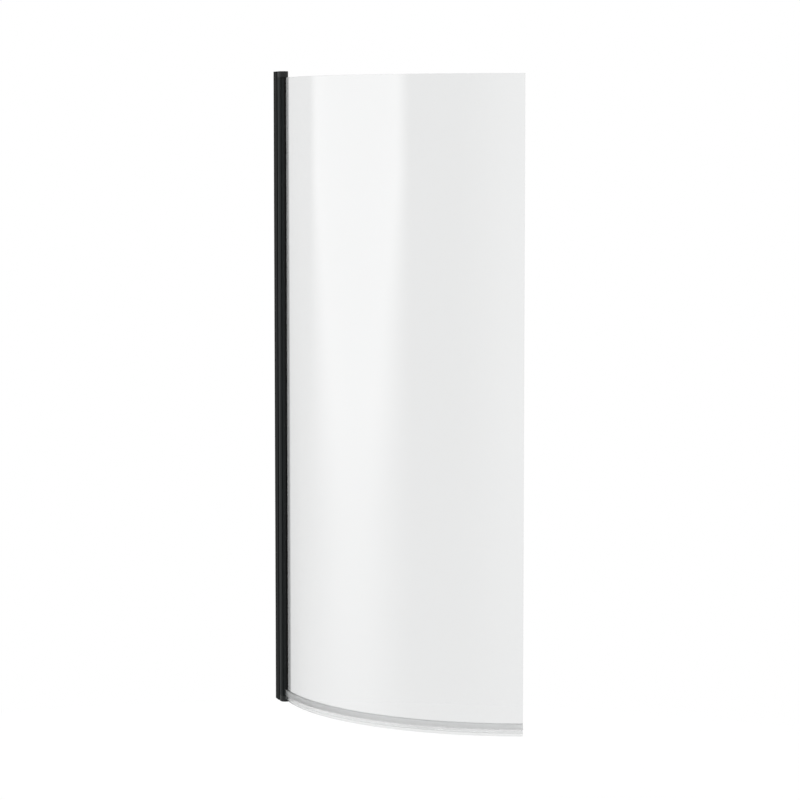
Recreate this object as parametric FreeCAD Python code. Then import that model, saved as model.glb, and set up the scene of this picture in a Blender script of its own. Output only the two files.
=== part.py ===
import FreeCAD, Part
import math
import os

# Curved bath screen: one bent glass panel that turns on a slim black post.
# Millimetres, +Z up. The wall is the plane y = 0 and the screen stands out
# from it towards -Y. +X is the bather's side, where the glass curves to.
# The origin is the bottom middle of the wall face of the wall channel.

# ---- driving dimensions -------------------------------------------------
overall_height = 1400.0     # wall channel and post, caps included
profile_width = 22.0        # wall channel and post, seen from the front

# wall channel
channel_wall = 2.0
guide_rib = 0.4             # rib inside each mouth edge, which guides the tail
guide_rib_depth = 2.0
wall_hole_diameter = 5.5
wall_hole_margin = 70.0     # end holes from the ends of the channel
wall_hole_count = 4

# post: its tail slides in the wall channel, its head holds the hinge
reveal = 8.0                # tail shown between wall channel and head
head_side = 7.0             # flat side of the head, behind the round nose
slide_clearance = 0.2
adjustment = 15.0           # whole travel of the tail in the wall channel
tail_wall = 1.6
tail_end_gap = 0.5          # tail to channel back when pushed right in
socket_wall = 1.8
outer_lip_angle = 48.0      # where the outer lip ends, from straight ahead
inner_lip_angle = 125.0     # where the inner lip ends, from straight ahead
barrel_gap = 1.0            # socket wall to turning barrel
lip_seal_thickness = 0.55
lip_seal_sweep = 14.0       # degrees of the socket that each lip seal covers
lip_seal_setback = 9.0      # degrees from the end of each lip
lip_seal_bond = 0.05        # glue between lip seal and socket

# clamp screws between tail and wall channel
clamp_margin = 120.0        # end screws from the ends of the channel
clamp_count = 3
clamp_from_tail_end = 4.0
clamp_shank = 4.0
clamp_point = 1.0           # screw past its nut
clamp_slot_width = 4.4
clamp_slot_margin = 2.3     # slots to the mouth of the channel
clamp_head_corners = 8.0    # hexagon head, across its corners
clamp_head_height = 2.6
clamp_nut_width = 7.0
clamp_nut_height = 10.0
clamp_nut_thickness = 3.0
cover_wall = 1.3
cover_bevel = 0.9
cover_clearance = 0.2

# end caps of the post, and the pivots in them
cap_floor = 2.5             # solid end of the cap outside the bush
cap_edge_bevel = 0.6
cap_tongue_length = 18.0    # part of the cap that stands on the tail
bush_length = 8.0
bush_radius = 6.0
pivot_radius = 4.0
pivot_clearance = 0.05
washer_clearance = 0.2      # pivot to thrust washer
pivot_end_gap = 1.0
flange_thickness = 2.5
flange_edge_gap = 0.2       # plug flange inside the barrel's outline
recess_clearance = 0.6      # plug flange to the round recess in the cap
washer_thickness = 1.0
end_gap = 1.0               # turning parts to the fixed caps
port_spread = 4.4           # screw ports either side of the middle
port_behind_socket = 1.8    # port centres behind the socket's outside
port_wall = 1.2
cap_screw_diameter = 3.5
cap_screw_length = 24.0
cap_screw_corners = 6.6     # hexagon head, across its corners
cap_screw_head_height = 2.0
cap_screw_clearance = 0.1
thread_clearance = 0.05
plug_length = 16.0
plug_clearance = 0.1

# wall channel end caps
channel_cap_thickness = 2.0
channel_cap_tab = 7.0
channel_cap_tab_depth = 3.0
channel_cap_clearance = 0.1
tongue_gap = 0.4            # post cap's tongue below the channel cap

# glass holder: barrel with a pocket for the glass
holder_wall = 1.4
pocket_ahead = 0.6          # pocket floor in front of the pivot axis
pocket_depth = 9.2
gasket_thickness = 0.5
gasket_bead = 0.9           # gasket shown outside the pocket
glass_edge_gap = 0.8

# glass
glass_thickness = 6.0
glass_face = 0.5            # outer face beside the middle of the post
glass_radius = 535.0        # outer face
glass_sweep = 72.5          # degrees of curve from the straight edge
glass_straight = 13.1       # flat edge of the glass, held in the pocket
glass_bottom = 16.5
glass_below_top = 14.0

# bottom seal
clip_top = 27.1
clip_height = 13.0
clip_leg = 1.5
clip_clearance = 0.1
clip_end_gap = 0.5
clip_lead_in = 0.6
notch_ahead = 4.9           # end of the notch in front of the pivot axis
notch_above = 0.9           # notch above the clip
fin_thickness = 1.0
fin_drop = 14.7
short_fin_drop = 7.2
fin_flare = 1.6
fin_bead = 0.7
fin_start_gap = 0.6         # fins to the nose of the bottom cap

# ---- places worked out from them ----------------------------------------
half_width = profile_width / 2
tail_end = -(channel_wall + tail_end_gap + adjustment / 2)
clamp_y = tail_end - clamp_from_tail_end
channel_depth = adjustment / 2 + clamp_slot_width / 2 + clamp_slot_margin - clamp_y
head_back = -(channel_depth + reveal)
pivot_y = head_back - head_side
nose_radius = half_width
socket_radius = nose_radius - socket_wall
barrel_radius = socket_radius - barrel_gap
channel_inside = half_width - channel_wall
tail_half = channel_inside - guide_rib - slide_clearance
tail_inside = tail_half - tail_wall
recess_floor = cap_floor + bush_length
flange_bottom = recess_floor + washer_thickness
holder_bottom = flange_bottom + flange_thickness
cap_height = holder_bottom - end_gap
post_bottom = cap_height
post_top = overall_height - cap_height
holder_top = post_top - end_gap
middle = overall_height / 2

glass_inner_face = glass_face + glass_thickness
pocket_left = glass_face - gasket_thickness
pocket_right = glass_inner_face + gasket_thickness
pocket_floor = pivot_y - pocket_ahead
pocket_mouth = pocket_floor - pocket_depth
glass_start = pocket_floor - glass_edge_gap
curve_x = glass_face + glass_radius
curve_y = glass_start - glass_straight
glass_top = overall_height - glass_below_top
clip_bottom = clip_top - clip_height
notch_end = pivot_y - notch_ahead
notch_top = clip_top + notch_above
clip_start = notch_end - clip_end_gap

flange_radius = barrel_radius - flange_edge_gap
recess_radius = flange_radius + recess_clearance
port_y = pivot_y + nose_radius + port_behind_socket

Z_AXIS = FreeCAD.Vector(0, 0, 1)
PIVOT = FreeCAD.Vector(0, pivot_y, 0)
CURVE_CENTRE = FreeCAD.Vector(curve_x, curve_y, 0)
OVERCUT = 1.0               # cuts run this far past the surface they start from


# ---- helpers --------------------------------------------------------------
def box(x0, x1, y0, y1, z0, z1):
    corner = FreeCAD.Vector(min(x0, x1), min(y0, y1), min(z0, z1))
    return Part.makeBox(abs(x1 - x0), abs(y1 - y0), abs(z1 - z0), corner)


def rod(radius, x, y, z0, z1):
    """Upright round bar."""
    return Part.makeCylinder(radius, abs(z1 - z0), FreeCAD.Vector(x, y, min(z0, z1)))


def disc(radius, z0, z1):
    """Upright round bar on the pivot axis."""
    return rod(radius, 0, pivot_y, z0, z1)


def sector(radius, start, end, z0, z1):
    """Upright wedge on the pivot axis. Angles run from -Y towards +X."""
    base = FreeCAD.Vector(0, pivot_y, z0)
    wedge = Part.makeCylinder(radius, z1 - z0, base, Z_AXIS, end - start)
    wedge.rotate(PIVOT, Z_AXIS, start - 90)
    return wedge


def cross_rod(radius, x0, x1, y, z):
    """Round bar along X."""
    start = FreeCAD.Vector(min(x0, x1), y, z)
    return Part.makeCylinder(radius, abs(x1 - x0), start, FreeCAD.Vector(1, 0, 0))


def hexagon_head(corners, height):
    """Upright hexagonal screw head on the origin."""
    turns = [math.radians(60 * i) for i in range(6)]
    return prism([(corners / 2 * math.cos(a), corners / 2 * math.sin(a)) for a in turns], 0, height)


def face_of(points):
    return Part.Face(Part.makePolygon(points + points[:1]))


def prism(outline, z0, z1):
    """Upright bar with a straight-edged outline of (x, y) points."""
    face = face_of([FreeCAD.Vector(x, y, z0) for x, y in outline])
    return face.extrude(FreeCAD.Vector(0, 0, z1 - z0))


def along_glass(section, start):
    """Follow the glass from y = start round its whole curve.

    The section's points are (out, z): out is measured outwards from the
    outer face of the glass, away from the bather.
    """
    points = [FreeCAD.Vector(glass_face - out, curve_y, z) for out, z in section]
    face = face_of(points)
    flat = face.extrude(FreeCAD.Vector(0, start - curve_y, 0))
    bend = face.revolve(CURVE_CENTRE, Z_AXIS, glass_sweep)
    return flat.fuse(bend).removeSplitter()


def at_top(shape):
    """The same piece at the other end of the post."""
    return shape.mirror(FreeCAD.Vector(0, 0, middle), Z_AXIS)


def spaced(count, margin):
    """Heights of evenly spaced pieces, the end ones a margin from the ends."""
    pitch = (overall_height - 2 * margin) / (count - 1)
    return [margin + i * pitch for i in range(count)]


def group(shapes):
    return shapes[0] if len(shapes) == 1 else Part.makeCompound(shapes)


# ---- wall channel and its fastenings ---------------------------------------
def wall_channel():
    mouth = -channel_depth
    rib_x = channel_inside - guide_rib
    rib_y = mouth + guide_rib_depth
    right = [
        (half_width, 0),
        (half_width, mouth),
        (rib_x, mouth),
        (rib_x, rib_y),
        (channel_inside, rib_y + guide_rib),
        (channel_inside, -channel_wall),
    ]
    left = [(-x, y) for x, y in reversed(right)]
    channel = prism(right + left, 0, overall_height)
    drill = channel_wall + 2 * OVERCUT
    for z in spaced(wall_hole_count, wall_hole_margin):
        start = FreeCAD.Vector(0, OVERCUT, z)
        hole = Part.makeCylinder(wall_hole_diameter / 2, drill, start,
                                 FreeCAD.Vector(0, -1, 0))
        channel = channel.cut(hole)
    for z in spaced(clamp_count, clamp_margin):
        channel = channel.cut(clamp_slot(z))
    return channel


def clamp_slot(z):
    """Level slot in the inner side of the wall channel, for a clamp screw."""
    radius = clamp_slot_width / 2
    x0 = tail_half
    x1 = half_width + OVERCUT
    front = clamp_y - adjustment / 2
    back = clamp_y + adjustment / 2
    ends = cross_rod(radius, x0, x1, front, z).fuse(cross_rod(radius, x0, x1, back, z))
    return ends.fuse(box(x0, x1, front, back, z - radius, z + radius))


def channel_cap():
    """Bottom end cap of the wall channel, set in flush between its sides."""
    half = channel_inside - guide_rib - channel_cap_clearance
    back = -(channel_wall + channel_cap_clearance)
    plate = box(-half, half, back, -channel_depth, 0, channel_cap_thickness)
    tab_top = channel_cap_thickness + channel_cap_tab
    tab = box(-half, half, back, back - channel_cap_tab_depth, 0, tab_top)
    return plate.fuse(tab).removeSplitter()


def clamp_screw(z):
    point = tail_inside - clamp_nut_thickness - clamp_point
    seat = half_width + thread_clearance
    shank = cross_rod(clamp_shank / 2, point, seat, clamp_y, z)
    head = hexagon_head(clamp_head_corners, clamp_head_height)
    head.rotate(FreeCAD.Vector(0, 0, 0), FreeCAD.Vector(0, 1, 0), 90)
    head.translate(FreeCAD.Vector(seat, clamp_y, z))
    return shank.fuse(head)


def clamp_nut(z):
    """Nut plate inside the tail, drawn against its wall by the screw."""
    y0 = clamp_y - clamp_nut_width / 2
    z0 = z - clamp_nut_height / 2
    x0 = tail_inside - clamp_nut_thickness
    plate = box(x0, tail_inside, y0, y0 + clamp_nut_width, z0, z0 + clamp_nut_height)
    bore = cross_rod(clamp_shank / 2 + thread_clearance, x0 - OVERCUT, tail_inside + OVERCUT,
                     clamp_y, z)
    return plate.cut(bore)


def screw_cover(z):
    """Push-on cover over the head of a clamp screw."""
    inside = clamp_head_corners / 2 + cover_clearance
    seat = half_width + cover_clearance
    depth = clamp_head_height + cover_clearance
    outer = cross_rod(inside + cover_wall, seat, seat + depth + cover_wall, clamp_y, z)
    rim = [edge for edge in outer.Edges if edge.BoundBox.XMin > seat + depth]
    dome = outer.makeChamfer(cover_bevel, rim)
    return dome.cut(cross_rod(inside, seat - OVERCUT, seat + depth, clamp_y, z))


# ---- post ---------------------------------------------------------------------
def hinge_post():
    """Extruded post: forked tail, two screw ports and the hinge socket."""
    z0, z1 = post_bottom, post_top
    tail = box(-tail_half, tail_half, tail_end, pivot_y, z0, z1)
    tail = tail.cut(box(-tail_inside, tail_inside, tail_end + OVERCUT, pivot_y, z0, z1))
    head = box(-half_width, tail_half, head_back, pivot_y, z0, z1)
    post = tail.fuse([head, disc(nose_radius, z0, z1)])
    port_radius = cap_screw_diameter / 2 + thread_clearance
    for x in (-port_spread, port_spread):
        post = post.fuse(rod(port_radius + port_wall, x, port_y, z0, z1))
    post = post.cut(disc(socket_radius, z0, z1))
    post = post.cut(sector(3 * nose_radius, -outer_lip_angle, inner_lip_angle, z0, z1))
    for x in (-port_spread, port_spread):
        post = post.cut(rod(port_radius, x, port_y, z0, z1))
    for z in spaced(clamp_count, clamp_margin):
        hole = cross_rod(clamp_shank / 2 + thread_clearance, tail_inside - OVERCUT, half_width,
                         clamp_y, z)
        post = post.cut(hole)
    return post.removeSplitter()


def lip_seal(start, end):
    """Wiper strip inside a lip of the socket, which brushes the barrel."""
    strip = sector(socket_radius - lip_seal_bond, start, end, post_bottom, post_top)
    return strip.cut(disc(socket_radius - lip_seal_thickness, post_bottom, post_top))


def end_cap():
    """Bottom cap of the post: full section, seat for the pivot and a pocket
    in its tongue for the heads of the cap screws.
    """
    head = box(-half_width, half_width, head_back, pivot_y, 0, cap_height)
    nose = sector(nose_radius, -90, 90, 0, cap_height)
    head = head.fuse(nose).removeSplitter()
    rim = [edge for edge in head.Edges if edge.BoundBox.ZMax < 0.01]
    head = head.makeChamfer(cap_edge_bevel, rim)
    tongue_back = head_back + cap_tongue_length
    tongue_bottom = channel_cap_thickness + tongue_gap
    tongue = box(-tail_half, tail_half, head_back - 1, tongue_back, tongue_bottom, cap_height)
    cap = head.fuse(tongue).removeSplitter()
    cap = cap.cut(disc(recess_radius, recess_floor, cap_height))
    cap = cap.cut(disc(bush_radius, cap_floor, cap_height))
    reach = cap_screw_corners / 2 + cap_screw_clearance
    cap = cap.cut(box(-port_spread - reach, port_spread + reach, port_y - reach, port_y + reach,
                      tongue_bottom, tongue_bottom + cap_screw_head_height))
    for x in (-port_spread, port_spread):
        cap = cap.cut(rod(cap_screw_diameter / 2 + cap_screw_clearance, x, port_y,
                          tongue_bottom, cap_height))
    return cap


def cap_screws():
    z = channel_cap_thickness + tongue_gap
    screws = []
    for x in (-port_spread, port_spread):
        shank = rod(cap_screw_diameter / 2, x, port_y, z, z + cap_screw_length)
        head = hexagon_head(cap_screw_corners, cap_screw_head_height)
        head.translate(FreeCAD.Vector(x, port_y, z))
        screws.append(shank.fuse(head))
    return group(screws)


def pivot_bush():
    bush = disc(bush_radius, cap_floor, recess_floor)
    return bush.cut(disc(pivot_radius + pivot_clearance, cap_floor, recess_floor))


def thrust_washer():
    ring = disc(flange_radius, recess_floor, flange_bottom)
    return ring.cut(disc(pivot_radius + washer_clearance, recess_floor, flange_bottom))


# ---- turning panel ------------------------------------------------------------
def holder_chamber(inset, z0, z1):
    """Hollow of the barrel beside and behind the glass pocket."""
    hollow = disc(barrel_radius - holder_wall - inset, z0, z1)
    side = pocket_left - holder_wall - inset
    back = pocket_floor + holder_wall + inset
    pocket = box(side, 2 * barrel_radius, back, pivot_y - 2 * barrel_radius, z0, z1)
    return hollow.cut(pocket)


def glass_holder():
    """Extruded barrel with the pocket that grips the glass."""
    z0, z1 = holder_bottom, holder_top
    left = pocket_left - holder_wall
    right = pocket_right + holder_wall
    legs = box(left, right, pocket_floor + holder_wall, pocket_mouth, z0, z1)
    holder = disc(barrel_radius, z0, z1).fuse(legs)
    beyond_mouth = pocket_mouth - OVERCUT
    holder = holder.cut(box(pocket_left, pocket_right, pocket_floor, beyond_mouth, z0, z1))
    holder = holder.cut(holder_chamber(0, z0, z1))
    side = clip_leg + clip_clearance + clip_end_gap
    notch = box(glass_face - side, right + OVERCUT, notch_end, beyond_mouth, z0, notch_top)
    return holder.cut(notch).removeSplitter()


def pivot_plug():
    """Bottom plug: tongue in the holder's hollow, flange, and pivot below it."""
    tongue = holder_chamber(plug_clearance, holder_bottom, holder_bottom + plug_length)
    flange = disc(flange_radius, flange_bottom, holder_bottom)
    pivot = disc(pivot_radius, cap_floor + pivot_end_gap, flange_bottom)
    return tongue.fuse([flange, pivot]).removeSplitter()


def setting_block():
    """Packer that carries the glass on the flange of the bottom plug."""
    x0 = glass_face
    return box(x0, glass_inner_face, glass_start, notch_end, holder_bottom, glass_bottom)


def gasket(face, side):
    """Glazing strip between the glass and one wall of the pocket."""
    wall = face + side * gasket_thickness
    bead = wall + side * (holder_wall - gasket_thickness)
    front = pocket_mouth - gasket_bead
    outline = [
        (face, glass_start),
        (wall, glass_start),
        (wall, pocket_mouth),
        (bead, pocket_mouth),
        (bead, pocket_mouth - gasket_bead / 3),
        (face, front),
    ]
    return prism(outline, notch_top, holder_top)


def glass_panel():
    section = [
        (0, glass_bottom),
        (0, glass_top),
        (-glass_thickness, glass_top),
        (-glass_thickness, glass_bottom),
    ]
    return along_glass(section, glass_start)


def seal_clip():
    """Stiff U-shaped clip pushed up over the bottom edge of the glass."""
    inner = -glass_thickness
    grip = clip_clearance
    lead = clip_lead_in
    section = [
        (grip + clip_leg, clip_bottom + lead),
        (grip + clip_leg, clip_top - lead),
        (grip + clip_leg - lead, clip_top),
        (grip, clip_top),
        (grip, glass_bottom),
        (inner - grip, glass_bottom),
        (inner - grip, clip_top),
        (inner - grip - clip_leg + lead, clip_top),
        (inner - grip - clip_leg, clip_top - lead),
        (inner - grip - clip_leg, clip_bottom + lead),
        (inner - grip - clip_leg + lead, clip_bottom),
        (grip + clip_leg - lead, clip_bottom),
    ]
    return along_glass(section, clip_start)


def short_fin():
    """Short soft fin below the outer side, flared outwards."""
    root = clip_clearance + clip_leg - clip_lead_in
    tip = clip_bottom - short_fin_drop
    section = [
        (root, clip_bottom),
        (root - fin_thickness, clip_bottom),
        (root - fin_thickness + fin_flare, tip),
        (root + fin_flare, tip),
    ]
    return clear_of_cap(along_glass(section, clip_start))


def long_fin():
    """Long soft fin below the inner side, with a bead along its tip."""
    root = fin_thickness - glass_thickness
    tip = clip_bottom - fin_drop
    section = [
        (root, clip_bottom),
        (root - fin_thickness, clip_bottom),
        (root - fin_thickness, tip),
        (root, tip),
        (root + fin_bead, tip + fin_bead),
        (root + fin_bead, tip + 2 * fin_bead),
        (root, tip + 3 * fin_bead),
    ]
    return clear_of_cap(along_glass(section, clip_start))


def clear_of_cap(fin):
    """Cut a fin back from the round nose of the bottom cap."""
    return fin.cut(disc(nose_radius + fin_start_gap, -cap_height, clip_bottom))


# ---- write each piece ---------------------------------------------------------
def main():
    clamp_heights = spaced(clamp_count, clamp_margin)
    inner_seal = inner_lip_angle + lip_seal_setback
    outer_seal = -outer_lip_angle - lip_seal_setback
    pieces = {
        "wall_channel": wall_channel(),
        "channel_cap_bottom": channel_cap(),
        "channel_cap_top": at_top(channel_cap()),
        "hinge_post": hinge_post(),
        "post_cap_bottom": end_cap(),
        "post_cap_top": at_top(end_cap()),
        "cap_screws_bottom": cap_screws(),
        "cap_screws_top": at_top(cap_screws()),
        "pivot_bush_bottom": pivot_bush(),
        "pivot_bush_top": at_top(pivot_bush()),
        "thrust_washer": thrust_washer(),
        "lip_seal_outer": lip_seal(outer_seal - lip_seal_sweep, outer_seal),
        "lip_seal_inner": lip_seal(inner_seal, inner_seal + lip_seal_sweep),
        "clamp_screws": group([clamp_screw(z) for z in clamp_heights]),
        "clamp_nuts": group([clamp_nut(z) for z in clamp_heights]),
        "screw_covers": group([screw_cover(z) for z in clamp_heights]),
        "glass_holder": glass_holder(),
        "pivot_plug_bottom": pivot_plug(),
        "pivot_plug_top": at_top(pivot_plug()),
        "setting_block": setting_block(),
        "gasket_outer": gasket(glass_face, -1),
        "gasket_inner": gasket(glass_inner_face, 1),
        "glass_panel": glass_panel(),
        "seal_clip": seal_clip(),
        "seal_fin_outer": short_fin(),
        "seal_fin_inner": long_fin(),
    }
    os.makedirs("parts", exist_ok=True)
    for name, shape in pieces.items():
        shape.exportStep("parts/" + name + ".step")
        print(name, len(shape.Solids), shape.isValid(), round(shape.Volume, 1))


main()
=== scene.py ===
import math
import bmesh
import bpy
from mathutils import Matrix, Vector


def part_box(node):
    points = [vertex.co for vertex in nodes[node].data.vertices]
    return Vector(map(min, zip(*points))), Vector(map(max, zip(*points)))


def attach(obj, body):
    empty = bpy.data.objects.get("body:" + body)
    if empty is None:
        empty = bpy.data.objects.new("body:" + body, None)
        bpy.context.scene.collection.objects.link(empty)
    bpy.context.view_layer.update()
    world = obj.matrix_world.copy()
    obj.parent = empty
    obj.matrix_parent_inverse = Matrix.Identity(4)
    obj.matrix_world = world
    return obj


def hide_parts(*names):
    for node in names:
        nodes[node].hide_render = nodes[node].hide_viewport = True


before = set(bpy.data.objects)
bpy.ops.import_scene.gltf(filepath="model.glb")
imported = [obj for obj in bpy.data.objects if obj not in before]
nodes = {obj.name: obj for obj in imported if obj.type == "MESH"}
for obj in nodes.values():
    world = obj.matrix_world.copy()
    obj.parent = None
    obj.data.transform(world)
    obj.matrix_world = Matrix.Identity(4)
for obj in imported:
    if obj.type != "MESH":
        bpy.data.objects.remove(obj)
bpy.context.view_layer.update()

# Curved bath screen: a bent glass panel that turns on a slim black post.
# Metres, +Z up. The wall is the plane y = 0 and the screen stands out towards
# -Y. +X is the bather's side.

# ---- sizes of the glass and its seal, as the frame has them ------------------
GLASS_THICKNESS = 0.006
GLASS_RADIUS = 0.535          # outer face
GLASS_SWEEP = math.radians(72.5)
GLASS_FLAT = 0.0131           # straight edge that the holder grips
GLASS_ARRIS = 0.0005          # ground edge
CURVE_STEPS = 96
FACE_X = 0.0005               # outer face of the straight edge
BACK_X = FACE_X + GLASS_THICKNESS

CLIP_LEG = 0.0015
CLIP_GAP = 0.0001             # clip to glass
CLIP_ROUND = 0.0006
FIN_THICKNESS = 0.001
FIN_FLARE = 0.0016            # how far the short fin's tip stands out
FIN_STEPS = 5
FIN_BEAD = 0.0007             # how far the bead stands out at the long fin's tip
BEAD_HEIGHT = 2 * FIN_BEAD
FIN_ROUND = 0.45 * FIN_BEAD
ROUND_SEGMENTS = 4

# ---- painted shade and painted highlight: tinted borders and a strip ---------
CLIP_SHADE_RIM = 0.0011             # painted shade, along both edges of the clip
FIN_TIP_SHADE_RIM = 0.0012              # painted shade, at the short fin's tip
FIN_ROOT_HIGHLIGHT = 0.0024             # painted highlight, a white line on the fins under the clip
BELOW_ALL = -0.1              # no border at that end
ABOVE_ALL = 0.1
SHADE_STRIP_X = 0.003                # between the faces of the glass
SHADE_STRIP_Y = -0.0782              # end of the painted shade strip, away from the holder
SHADE_STRIP_FADE = 0.0004

# ---- edges and tolerances ----------------------------------------------------
EXTRUSION_EDGE = 0.00025
MOULDED_EDGE = 0.0003
RUBBER_EDGE = 0.00012
EDGE_SEGMENTS = 2
SHARP = math.radians(30)      # edges this sharp are softened
SMOOTH = math.radians(50)     # edges less sharp than this look smooth
FLAT = math.radians(1)        # facets flatter than this become one
LARGE_FACES_LEAD = 100        # weight of the faces' areas in the shading
SAME_CORNER = 0.000002
SAME_PLACE = 0.00001
UPRIGHT = math.radians(90)

glass_low, glass_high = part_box("glass_panel")
clip_low, clip_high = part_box("seal_clip")
short_fin_low, short_fin_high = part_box("seal_fin_outer")
long_fin_low, long_fin_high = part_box("seal_fin_inner")
CURVE_Y = glass_high.y - GLASS_FLAT
CURVE_CENTRE = Vector((FACE_X + GLASS_RADIUS, CURVE_Y, 0))


# ---- working by hand: selecting, shaping, finishing --------------------------
def drop_selection():
    if bpy.context.object and bpy.context.object.mode != "OBJECT":
        bpy.ops.object.mode_set(mode="OBJECT")
    bpy.ops.object.select_all(action="DESELECT")


def take(piece):
    """Make one object the only selected and active one."""
    drop_selection()
    piece.select_set(True)
    bpy.context.view_layer.objects.active = piece


def edit(piece):
    take(piece)
    bpy.ops.object.mode_set(mode="EDIT")


def apply_modifiers(piece):
    take(piece)
    for modifier in list(piece.modifiers):
        bpy.ops.object.modifier_apply(modifier=modifier.name)


def settle(piece):
    """Put the object's place and size into its mesh."""
    take(piece)
    bpy.ops.object.transform_apply(location=True, rotation=True, scale=True)


def smooth_shade(piece):
    """Smooth shading that the large faces lead, so that they look true."""
    take(piece)
    bpy.ops.object.shade_smooth_by_angle(angle=SMOOTH)
    even = piece.modifiers.new("even normals", "WEIGHTED_NORMAL")
    even.mode = "FACE_AREA"
    even.weight = LARGE_FACES_LEAD
    even.keep_sharp = True
    apply_modifiers(piece)


def soften_edges(piece, width):
    """Round the sharp edges, and keep the flat and bent faces true beside them."""
    bevel = piece.modifiers.new("softened edges", "BEVEL")
    bevel.width = width
    bevel.segments = EDGE_SEGMENTS
    bevel.limit_method = "ANGLE"
    bevel.angle_limit = SHARP
    apply_modifiers(piece)
    smooth_shade(piece)


def softened_copy(node, name, width):
    """The node's own shape with its facets joined and its edges softened."""
    take(nodes[node])
    bpy.ops.object.duplicate()
    piece = bpy.context.object
    piece.name = name
    piece.parent = None
    for key in list(piece.keys()):
        del piece[key]
    edit(piece)
    bpy.ops.mesh.select_all(action="SELECT")
    bpy.ops.mesh.remove_doubles(threshold=SAME_CORNER)
    bpy.ops.mesh.dissolve_limited(angle_limit=FLAT)
    bpy.ops.object.mode_set(mode="OBJECT")
    soften_edges(piece, width)
    return piece


def dress(piece, material):
    piece.data.materials.clear()
    piece.data.materials.append(material)


def hand_over(piece, node, body, material):
    """The finished piece stands for its node, rides on its body and is dressed."""
    dress(piece, material)
    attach(piece, body)
    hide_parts(node)


# ---- node helpers ------------------------------------------------------------
def feed(socket, source):
    """Link a socket from another one, or set it to a number or a colour."""
    if isinstance(source, bpy.types.NodeSocket):
        socket.id_data.links.new(source, socket)
    elif isinstance(source, tuple):
        socket.default_value = (*source, 1)
    else:
        socket.default_value = source


def add_node(tree, kind, sources=None, **settings):
    """A node with its settings, and with its sockets fed by name or number."""
    made = tree.nodes.new(kind)
    for name, value in settings.items():
        setattr(made, name, value)
    for name, source in (sources or {}).items():
        feed(made.inputs[name], source)
    return made


def worked(tree, operation, *sources, clamp=False):
    """The result of a sum or other operation on numbers."""
    made = add_node(tree, "ShaderNodeMath", dict(enumerate(sources)),
                    operation=operation, use_clamp=clamp)
    return made.outputs[0]


def ramp(tree, value, start, end, low=0.0, high=1.0, shape="LINEAR"):
    """Low before start and high past end."""
    made = add_node(tree, "ShaderNodeMapRange",
                    {"Value": value, "From Min": start, "From Max": end,
                     "To Min": low, "To Max": high},
                    interpolation_type=shape)
    return made.outputs["Result"]


def mixed(tree, factor, first, second, kind="FLOAT"):
    """The first where the factor is 0, and the second where it is 1."""
    made = add_node(tree, "ShaderNodeMix", {"Factor": factor, "A": first, "B": second},
                    data_type=kind)
    return made.outputs["Result"]


def noise(tree, scale, detail, roughness=0.5):
    """Even noise in the object's own space."""
    place = add_node(tree, "ShaderNodeTexCoord")
    made = add_node(tree, "ShaderNodeTexNoise",
                    {"Vector": place.outputs["Object"], "Scale": scale, "Detail": detail,
                     "Roughness": roughness})
    return made.outputs["Fac"]


def own_place(tree):
    """The object's own X, Y and Z."""
    place = add_node(tree, "ShaderNodeTexCoord")
    return add_node(tree, "ShaderNodeSeparateXYZ", {0: place.outputs["Object"]}).outputs


def new_group(name, inputs, outputs):
    """An empty node group of named numbers, with its way in and its way out."""
    tree = bpy.data.node_groups.new(name, "ShaderNodeTree")
    for way, names in (("INPUT", inputs), ("OUTPUT", outputs)):
        for socket in names:
            tree.interface.new_socket(socket, in_out=way, socket_type="NodeSocketFloat")
    return tree, add_node(tree, "NodeGroupInput"), add_node(tree, "NodeGroupOutput")


# ---- effects that several materials share ------------------------------------
GRAIN_DETAIL = 3.0
GRAIN_ROUGHNESS = 0.55
PATCH_DETAIL = 2.0
GRAIN_SHARE = 0.35            # share of the grain in the tone
PATCH_SHARE = 1 - GRAIN_SHARE


def grain_group():
    """Fine speckle of powder coat or moulded plastic: a height and a tone."""
    tree, entry, leave = new_group("fine_grain", ("Grains per Metre", "Patches per Metre"),
                                   ("Height", "Tone"))
    grain = noise(tree, entry.outputs["Grains per Metre"], GRAIN_DETAIL, GRAIN_ROUGHNESS)
    patches = noise(tree, entry.outputs["Patches per Metre"], PATCH_DETAIL)
    feed(leave.inputs["Height"], grain)
    feed(leave.inputs["Tone"], worked(tree, "MULTIPLY_ADD", grain, GRAIN_SHARE,
                                      worked(tree, "MULTIPLY", patches, PATCH_SHARE)))
    return tree


def patch_group():
    """Broad soft patches in a clear material."""
    tree, entry, leave = new_group("soft_patches", ("Patches per Metre",), ("Tone",))
    feed(leave.inputs["Tone"], noise(tree, entry.outputs["Patches per Metre"], PATCH_DETAIL))
    return tree


def rim_group():
    """Mask of the borders of an upright strip: 1 at its lower and upper edge."""
    tree, entry, leave = new_group("strip_rims", ("Low", "High", "Width"), ("Mask",))
    low, high, width = (entry.outputs[name] for name in ("Low", "High", "Width"))
    height = own_place(tree)["Z"]
    foot = ramp(tree, height, worked(tree, "ADD", low, width), low, shape="SMOOTHSTEP")
    head = ramp(tree, height, worked(tree, "SUBTRACT", high, width), high, shape="SMOOTHSTEP")
    feed(leave.inputs["Mask"], worked(tree, "MAXIMUM", foot, head))
    return tree


GRAIN = grain_group()
PATCHES = patch_group()
RIMS = rim_group()


def rim_mask(tree, low, high, width):
    border = add_node(tree, "ShaderNodeGroup", node_tree=RIMS)
    for name, value in (("Low", low), ("High", high), ("Width", width)):
        feed(border.inputs[name], value)
    return border.outputs["Mask"]


# Painted shade along the clip's lower and upper edges.
def clip_shade_rims(tree):
    return rim_mask(tree, clip_low.z, clip_high.z, CLIP_SHADE_RIM)


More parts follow.
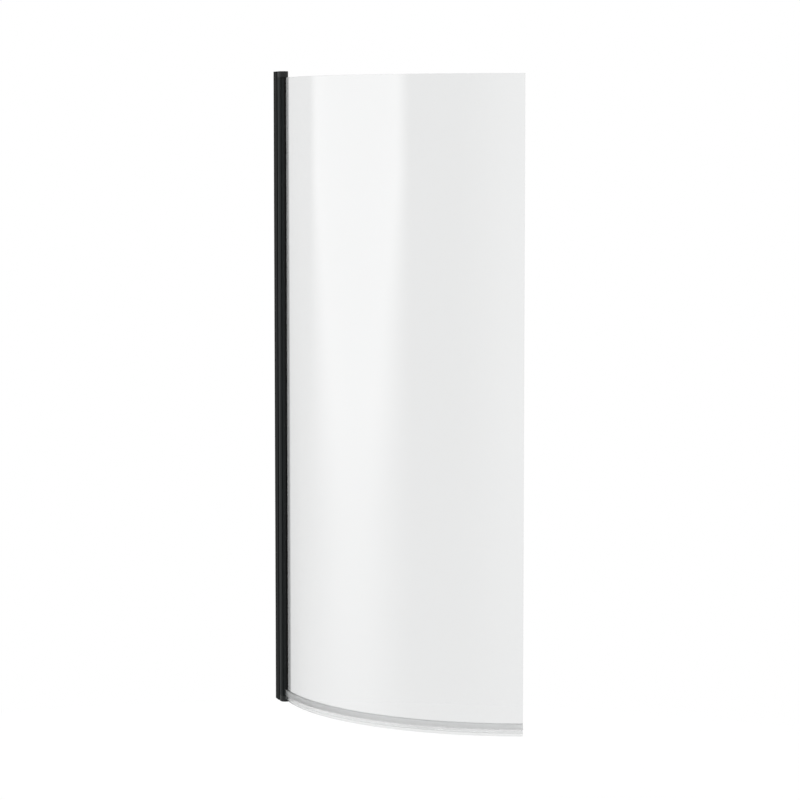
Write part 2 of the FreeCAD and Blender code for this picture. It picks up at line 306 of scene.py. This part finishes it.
# Painted shade at the short fin's tip.
def short_fin_tip_shade(tree):
    return rim_mask(tree, short_fin_low.z, ABOVE_ALL, FIN_TIP_SHADE_RIM)


# Painted highlight: a white line on the fins under the clip.
def fin_root_highlight(tree):
    return rim_mask(tree, BELOW_ALL, clip_low.z, FIN_ROOT_HIGHLIGHT)


def glass_shade_strip(tree):
    """Painted shade: a dark strip on the glass's inner face beside the holder, where the black
    post shows dark in the glass.
    """
    place = own_place(tree)
    return worked(tree, "MULTIPLY", ramp(tree, place["X"], SHADE_STRIP_X, SHADE_STRIP_X + SHADE_STRIP_FADE),
                  ramp(tree, place["Y"], SHADE_STRIP_Y, SHADE_STRIP_Y + SHADE_STRIP_FADE))


# ---- materials ---------------------------------------------------------------
def new_material(name):
    material = bpy.data.materials.new(name)
    material.use_nodes = True
    tree = material.node_tree
    return material, tree, tree.nodes["Principled BSDF"]


def set_constants(shader, **constants):
    """Set the shader's own sockets, such as IOR or Specular_IOR_Level."""
    for name, value in constants.items():
        feed(shader.inputs[name.replace("_", " ")], value)


def grained(name, dark, light, gloss, grains, patches, depth, **constants):
    """A surface whose colour, roughness and relief follow a fine grain."""
    material, tree, shader = new_material(name)
    grain = add_node(tree, "ShaderNodeGroup", node_tree=GRAIN)
    feed(grain.inputs["Grains per Metre"], grains)
    feed(grain.inputs["Patches per Metre"], patches)
    tone = grain.outputs["Tone"]
    bump = add_node(tree, "ShaderNodeBump",
                    {"Strength": 1.0, "Distance": depth, "Height": grain.outputs["Height"]})
    feed(shader.inputs["Base Color"], mixed(tree, tone, dark, light, kind="RGBA"))
    feed(shader.inputs["Roughness"], ramp(tree, tone, 0.0, 1.0, *gloss))
    feed(shader.inputs["Normal"], bump.outputs["Normal"])
    set_constants(shader, **constants)
    return material


def clear_material(name, thin, thick, gloss, patches, shades, **constants):
    """A see-through surface with a faint unevenness in tint and roughness.

    Each of the shades is a mask and the colour under it.
    """
    material, tree, shader = new_material(name)
    uneven = add_node(tree, "ShaderNodeGroup", node_tree=PATCHES)
    feed(uneven.inputs["Patches per Metre"], patches)
    tone = uneven.outputs["Tone"]
    tint = mixed(tree, tone, thin, thick, kind="RGBA")
    for mask, shade in shades:
        tint = mixed(tree, mask(tree), tint, shade, kind="RGBA")
    feed(shader.inputs["Base Color"], tint)
    feed(shader.inputs["Roughness"], ramp(tree, tone, 0.0, 1.0, *gloss))
    set_constants(shader, **constants)
    return material


POWDER_COAT = grained(
    "matt_black_powder_coat", dark=(0.009, 0.0105, 0.0105), light=(0.014, 0.0165, 0.0165),
    gloss=(0.68, 0.8), grains=2600.0, patches=40.0, depth=0.00002, Specular_IOR_Level=0.14)
# Painted shade: a darker, duller copy of the post's powder coat, for the channel's side in the
# shade by the wall.
SHADED_CHANNEL_COAT = grained(
    "painted_shade_channel_coat", dark=(0.0035, 0.004, 0.004), light=(0.006, 0.0068, 0.0068),
    gloss=(0.72, 0.84), grains=2600.0, patches=40.0, depth=0.00002, Specular_IOR_Level=0.1)
CAP_PLASTIC = grained(
    "black_moulded_plastic", dark=(0.006, 0.0068, 0.0068), light=(0.01, 0.0112, 0.0112),
    gloss=(0.46, 0.6), grains=1800.0, patches=60.0, depth=0.000015, Specular_IOR_Level=0.18)
RUBBER = grained(
    "matt_black_rubber", dark=(0.006, 0.006, 0.006), light=(0.01, 0.01, 0.01),
    gloss=(0.7, 0.85), grains=1500.0, patches=80.0, depth=0.00002, Specular_IOR_Level=0.15)
ACETAL = grained(
    "white_acetal", dark=(0.8, 0.8, 0.77), light=(0.88, 0.88, 0.86),
    gloss=(0.3, 0.42), grains=900.0, patches=90.0, depth=0.00001)
STEEL = grained(
    "plain_steel", dark=(0.36, 0.36, 0.365), light=(0.48, 0.48, 0.485),
    gloss=(0.22, 0.42), grains=2200.0, patches=120.0, depth=0.00001, Metallic=1.0)

# Painted shade: grey of the strip on the glass beside the holder, for the black post seen dark
# in the glass.
GLASS_SHADE_GREY = (0.25, 0.255, 0.255)
# Painted shade: grey of the clip's edges.
CLIP_SHADE_GREY = (0.55, 0.555, 0.555)
# Painted shade: grey of the short fin's tip.
FIN_TIP_SHADE_GREY = (0.7, 0.705, 0.705)
# Painted highlight: white of the fins' line under the clip.
HIGHLIGHT_WHITE = (1.0, 1.0, 1.0)

# The glass carries the painted shade strip beside the holder.
GLASS = clear_material(
    "clear_polished_glass", thin=(0.795, 0.8, 0.8), thick=(0.805, 0.81, 0.81),
    gloss=(0.0, 0.008), patches=6.0, shades=[(glass_shade_strip, GLASS_SHADE_GREY)],
    Transmission_Weight=1.0, IOR=1.5)
# The clip's edges carry painted shade.
CLIP_PLASTIC = clear_material(
    "translucent_clip_plastic", thin=(0.93, 0.935, 0.935), thick=(0.965, 0.97, 0.97),
    gloss=(0.26, 0.38), patches=90.0, shades=[(clip_shade_rims, CLIP_SHADE_GREY)],
    Transmission_Weight=0.9, IOR=1.45)
# The short fin carries painted shade at its tip and the painted highlight under the clip.
SHORT_FIN = clear_material(
    "clear_soft_short_fin", thin=(0.83, 0.835, 0.835), thick=(0.86, 0.865, 0.865),
    gloss=(0.1, 0.16), patches=120.0, shades=[(short_fin_tip_shade, FIN_TIP_SHADE_GREY), (fin_root_highlight, HIGHLIGHT_WHITE)],
    Transmission_Weight=0.97, IOR=1.42)
# The long fin carries the painted highlight under the clip.
LONG_FIN = clear_material(
    "clear_soft_long_fin", thin=(0.82, 0.825, 0.825), thick=(0.85, 0.855, 0.855),
    gloss=(0.1, 0.16), patches=120.0, shades=[(fin_root_highlight, HIGHLIGHT_WHITE)],
    Transmission_Weight=0.97, IOR=1.42)


# ---- bent pieces -------------------------------------------------------------
def flat_section(name, left, right, low, high, y):
    """Upright oblong face across the glass, ready to be shaped and bent along it."""
    drop_selection()
    bpy.ops.mesh.primitive_plane_add(size=1, location=((left + right) / 2, y, (low + high) / 2),
                                     rotation=(UPRIGHT, 0, 0))
    piece = bpy.context.object
    piece.name = name
    piece.scale = (right - left, high - low, 1)
    settle(piece)
    return piece


def bend_along_glass(piece, start_y):
    """Run a flat section, drawn at start_y, along the straight edge and round the curve."""
    edit(piece)
    bpy.ops.mesh.select_all(action="SELECT")
    bpy.ops.mesh.extrude_region_move(
        TRANSFORM_OT_translate={"value": (0, CURVE_Y - start_y, 0)})
    bpy.ops.mesh.spin(steps=CURVE_STEPS, angle=-GLASS_SWEEP, center=CURVE_CENTRE, axis=(0, 0, 1))
    bpy.ops.mesh.select_all(action="SELECT")
    bpy.ops.mesh.remove_doubles(threshold=SAME_CORNER)
    bpy.ops.mesh.normals_make_consistent(inside=False)
    bpy.ops.object.mode_set(mode="OBJECT")
    settle(piece)


def near(value, target):
    return abs(value - target) < SAME_PLACE


def pick(piece, kind, chosen):
    """In edit mode, select only the corners or edges that pass the test."""
    bpy.ops.mesh.select_all(action="DESELECT")
    bpy.ops.mesh.select_mode(type=kind)
    shape = bmesh.from_edit_mesh(piece.data)
    for item in (shape.verts if kind == "VERT" else shape.edges):
        points = [item.co] if kind == "VERT" else [corner.co for corner in item.verts]
        item.select_set(all(chosen(point) for point in points))
    shape.select_flush_mode()
    bmesh.update_edit_mesh(piece.data)


def extend(x, z):
    """Extrude what is selected across the glass and upwards."""
    bpy.ops.mesh.extrude_region_move(TRANSFORM_OT_translate={"value": (x, 0, z)})


def round_corners(radius):
    bpy.ops.mesh.bevel(offset=radius, segments=ROUND_SEGMENTS, affect="VERTICES")


def glass_sheet():
    """The bent glass, with a ground arris on every edge."""
    piece = flat_section("glass_sheet", FACE_X, BACK_X, glass_low.z, glass_high.z, glass_high.y)
    bend_along_glass(piece, glass_high.y)
    soften_edges(piece, GLASS_ARRIS)
    return piece


def bent_clip():
    """U-shaped clip: a web under the glass with a leg up each face, all corners rounded."""
    outside = FACE_X - CLIP_GAP - CLIP_LEG
    inside = BACK_X + CLIP_GAP + CLIP_LEG
    start = clip_high.y
    piece = flat_section("bent_seal_clip", outside, inside, clip_low.z, glass_low.z, start)
    edit(piece)
    for x in (outside + CLIP_LEG, inside - CLIP_LEG):
        bpy.ops.mesh.select_all(action="SELECT")
        bpy.ops.mesh.bisect(plane_co=(x, start, 0), plane_no=(1, 0, 0))
    legs = (lambda p: near(p.z, glass_low.z) and p.x < outside + CLIP_LEG + CLIP_GAP,
            lambda p: near(p.z, glass_low.z) and p.x > inside - CLIP_LEG - CLIP_GAP)
    for leg in legs:
        pick(piece, "EDGE", leg)
        extend(0, clip_high.z - glass_low.z)
    pick(piece, "VERT", lambda p: near(p.z, clip_high.z)
         or (near(p.z, clip_low.z) and (near(p.x, outside) or near(p.x, inside))))
    round_corners(CLIP_ROUND)
    bpy.ops.object.mode_set(mode="OBJECT")
    bend_along_glass(piece, start)
    smooth_shade(piece)
    return piece


def bent_fin(name, left, tip, flare, bead_side, start):
    """Soft fin under the clip, which curves outwards to its tip.

    It ends in a bead on the side that bead_side, 1 or -1, points to, or at 0 in none.
    """
    step = (clip_low.z - tip - BEAD_HEIGHT) / FIN_STEPS
    low = clip_low.z - step
    side = left + FIN_THICKNESS * (bead_side > 0)
    piece = flat_section(name, left, left + FIN_THICKNESS, low, clip_low.z, start)
    edit(piece)
    for i in range(1, FIN_STEPS):
        pick(piece, "EDGE", lambda p: near(p.z, low))
        growth = ((i + 1) ** 2 - i ** 2) / (FIN_STEPS ** 2 - 1)   # square of the way down
        extend(-flare * growth, -step)
        low -= step
    pick(piece, "EDGE", lambda p: near(p.z, low))
    extend(0, -BEAD_HEIGHT)
    if bead_side:
        pick(piece, "EDGE", lambda p: p.z < low + SAME_PLACE and near(p.x, side))
        extend(bead_side * FIN_BEAD, 0)
    pick(piece, "VERT", lambda p: near(p.z, tip)
         or (bead_side and near(p.x, side + bead_side * FIN_BEAD)))
    round_corners(FIN_ROUND)
    bpy.ops.object.mode_set(mode="OBJECT")
    bend_along_glass(piece, start)
    smooth_shade(piece)
    return piece


# ---- the object --------------------------------------------------------------
SOFTENED = {                  # body, slot, material and width of the softened edges
    # the channel wears the painted shade copy of the coat
    "wall_channel": ("wall_side", "black_aluminium", SHADED_CHANNEL_COAT, EXTRUSION_EDGE),
    "channel_cap_bottom": ("wall_side", "black_plastic", CAP_PLASTIC, MOULDED_EDGE),
    "channel_cap_top": ("wall_side", "black_plastic", CAP_PLASTIC, MOULDED_EDGE),
    "hinge_post": ("post", "black_aluminium", POWDER_COAT, EXTRUSION_EDGE),
    "post_cap_bottom": ("post", "black_plastic", CAP_PLASTIC, MOULDED_EDGE),
    "post_cap_top": ("post", "black_plastic", CAP_PLASTIC, MOULDED_EDGE),
    "lip_seal_outer": ("post", "black_rubber", RUBBER, RUBBER_EDGE),
    "lip_seal_inner": ("post", "black_rubber", RUBBER, RUBBER_EDGE),
    "screw_covers": ("post", "black_plastic", CAP_PLASTIC, MOULDED_EDGE),
    "glass_holder": ("panel", "black_aluminium", POWDER_COAT, EXTRUSION_EDGE),
    "gasket_outer": ("panel", "black_rubber", RUBBER, RUBBER_EDGE),
    "gasket_inner": ("panel", "black_rubber", RUBBER, RUBBER_EDGE),
    "setting_block": ("panel", "black_rubber", RUBBER, RUBBER_EDGE),
}
DRESSED = {                   # these keep their own shape
    "cap_screws_bottom": STEEL,
    "cap_screws_top": STEEL,
    "clamp_screws": STEEL,
    "clamp_nuts": STEEL,
    "pivot_bush_bottom": ACETAL,
    "pivot_bush_top": ACETAL,
    "thrust_washer": ACETAL,
    "pivot_plug_bottom": CAP_PLASTIC,
    "pivot_plug_top": CAP_PLASTIC,
}

for node, (body, slot, material, edge) in SOFTENED.items():
    hand_over(softened_copy(node, node + "_finished", edge), node, body, material)
for node, material in DRESSED.items():
    dress(nodes[node], material)
hand_over(glass_sheet(), "glass_panel", "panel", GLASS)
hand_over(bent_clip(), "seal_clip", "panel", CLIP_PLASTIC)
hand_over(bent_fin("bent_short_fin", FACE_X - FIN_THICKNESS, short_fin_low.z, FIN_FLARE, 0,
                   short_fin_high.y),
          "seal_fin_outer", "panel", SHORT_FIN)
hand_over(bent_fin("bent_long_fin", BACK_X - FIN_THICKNESS, long_fin_low.z, 0, -1,
                   long_fin_high.y),
          "seal_fin_inner", "panel", LONG_FIN)


# ---- studio ------------------------------------------------------------------
FLOOR_Z = -0.56               # the rim of a bath is this far above the floor
FLOOR_RADIUS = 2.8
FLOOR_SIDES = 96
FLOOR_COLOUR = (0.9, 0.9, 0.9)
FLOOR_ROUGHNESS = 0.9
FLOOR_SPECULAR = 0.1
FLOOR_GLOW = 0.88             # share of plain white, and the rest keeps the shadow
FLOOR_WHITE = 1.05
WHITE = (1, 1, 1)
AMBIENT = 0.6                 # how bright the surroundings light the object

# The window, as mirrors see it. Azimuths run from -X towards the wall, and
# heights are sines of the elevation.
WINDOW_AZIMUTH = math.radians(12.5)
WINDOW_CORE = math.radians(24.5)       # half its width at full strength
WINDOW_CORE_LOW = math.radians(3)      # the same near its foot
WINDOW_EDGE = math.radians(33.5)       # half its width where it ends
WINDOW_EDGE_LOW = math.radians(37)
TAPER_START = -0.01                    # heights between which its sides get softer
TAPER_END = -0.13
WINDOW_GAIN_FRONT = 2.75               # how much brighter than the rest, at its front side
WINDOW_GAIN_REAR = 1.7
WINDOW_FOOT = -0.285                   # height at which it ends
WINDOW_FULL = -0.09
FRONT_START = math.radians(-40)        # a weaker window on the camera's side
FRONT_FULL = math.radians(-76)
FRONT_GAIN = 1.0
WALL_AZIMUTH = math.radians(68)        # the wall's side is a little darker
WALL_CORE = math.radians(2)
WALL_EDGE = math.radians(28)
WALL_LOW = -0.19
WALL_HIGH = 0.03
WALL_SHADE_LOW = -0.6
WALL_SHADE_HIGH = -0.11

LAMPS = {                              # place, side of its square and power
    "key": (Vector((-2.2, -3.0, 3.4)), 2.2, 90),
    "fill": (Vector((2.6, -2.6, 2.6)), 2.6, 45),
}
LAMP_TARGET = Vector((0.15, -0.3, 0.7))

CAMERA_PLACE = Vector((-1.629, -6.077, 1.228))
CAMERA_LOOK = Vector((0.2988, 0.9503, -0.08805))
CAMERA_LENS = 127.3
CAMERA_SENSOR = 36


def white_floor():
    """Round white floor that keeps the object's soft shadow."""
    drop_selection()
    bpy.ops.mesh.primitive_circle_add(vertices=FLOOR_SIDES, radius=FLOOR_RADIUS,
                                      fill_type="NGON", location=(0, 0, FLOOR_Z))
    floor = bpy.context.object
    floor.name = "floor"
    material, tree, shader = new_material("white_floor")
    set_constants(shader, Base_Color=FLOOR_COLOUR, Roughness=FLOOR_ROUGHNESS,
           Specular_IOR_Level=FLOOR_SPECULAR)
    glow = add_node(tree, "ShaderNodeEmission", {"Strength": FLOOR_WHITE})
    path = add_node(tree, "ShaderNodeLightPath")
    seen = worked(tree, "MAXIMUM", path.outputs["Is Camera Ray"], path.outputs["Is Glossy Ray"])
    seen = worked(tree, "MAXIMUM", seen, path.outputs["Is Transmission Ray"])
    both = add_node(tree, "ShaderNodeMixShader",
                    {"Fac": worked(tree, "MULTIPLY", seen, FLOOR_GLOW),
                     1: shader.outputs["BSDF"], 2: glow.outputs["Emission"]})
    feed(tree.nodes["Material Output"].inputs["Surface"], both.outputs["Shader"])
    dress(floor, material)


def mirrored_room(tree):
    """How bright a mirror sees each direction: a window at the left, and a darker wall."""
    around = add_node(tree, "ShaderNodeTexCoord")
    direction = add_node(tree, "ShaderNodeSeparateXYZ", {0: around.outputs["Generated"]})
    height = direction.outputs["Z"]
    azimuth = worked(tree, "ARCTAN2", direction.outputs["Y"],
                     worked(tree, "MULTIPLY", direction.outputs["X"], -1.0))

    aside = worked(tree, "SUBTRACT", azimuth, WINDOW_AZIMUTH)
    core = ramp(tree, height, TAPER_START, TAPER_END, WINDOW_CORE, WINDOW_CORE_LOW)
    edge = ramp(tree, height, TAPER_START, TAPER_END, WINDOW_EDGE, WINDOW_EDGE_LOW)
    across = ramp(tree, worked(tree, "ABSOLUTE", aside), edge, core, shape="SMOOTHSTEP")
    upward = ramp(tree, height, WINDOW_FOOT, WINDOW_FULL)
    window = worked(tree, "MULTIPLY", across, upward)
    gain = ramp(tree, aside, -WINDOW_CORE, WINDOW_CORE, WINDOW_GAIN_FRONT, WINDOW_GAIN_REAR)

    wall_aside = worked(tree, "ABSOLUTE", worked(tree, "SUBTRACT", azimuth, WALL_AZIMUTH))
    wall = ramp(tree, wall_aside, WALL_EDGE, WALL_CORE, shape="SMOOTHSTEP")
    shade = ramp(tree, height, WALL_LOW, WALL_HIGH, WALL_SHADE_LOW, WALL_SHADE_HIGH)
    front = ramp(tree, azimuth, FRONT_START, FRONT_FULL, 0.0, FRONT_GAIN, shape="SMOOTHSTEP")
    front = worked(tree, "MULTIPLY_ADD", front, upward, 1.0)
    rest = worked(tree, "MULTIPLY_ADD", wall, shade, front)
    return worked(tree, "MULTIPLY_ADD", window, gain, rest)


def studio_world():
    """White surroundings, soft as a light, with a bright window for mirrors alone."""
    world = bpy.data.worlds.new("studio")
    bpy.context.scene.world = world
    world.use_nodes = True
    tree = world.node_tree
    path = add_node(tree, "ShaderNodeLightPath")
    through = path.outputs["Is Transmission Ray"]
    seen = worked(tree, "MAXIMUM", path.outputs["Is Camera Ray"], through)
    mirror_only = worked(tree, "SUBTRACT", path.outputs["Is Glossy Ray"], through, clamp=True)
    sky = tree.nodes["Background"]
    feed(sky.inputs["Color"], WHITE)
    feed(sky.inputs["Strength"],
         mixed(tree, mirror_only, mixed(tree, seen, AMBIENT, 1.0), mirrored_room(tree)))


def soft_lamp(name, place, size, power):
    data = bpy.data.lights.new(name, "AREA")
    data.shape = "SQUARE"
    data.size = size
    data.energy = power
    lamp = bpy.data.objects.new(name, data)
    lamp.location = place
    lamp.rotation_euler = (LAMP_TARGET - place).to_track_quat("-Z", "Y").to_euler()
    lamp.visible_glossy = False
    bpy.context.scene.collection.objects.link(lamp)


def camera():
    data = bpy.data.cameras.new("camera")
    data.lens = CAMERA_LENS
    data.sensor_width = CAMERA_SENSOR
    made = bpy.data.objects.new("camera", data)
    made.location = CAMERA_PLACE
    made.rotation_euler = CAMERA_LOOK.to_track_quat("-Z", "Y").to_euler()
    bpy.context.scene.collection.objects.link(made)
    bpy.context.scene.camera = made


white_floor()
studio_world()
for name, (place, size, power) in LAMPS.items():
    soft_lamp(name, place, size, power)
camera()
bpy.context.scene.view_settings.view_transform = "Standard"
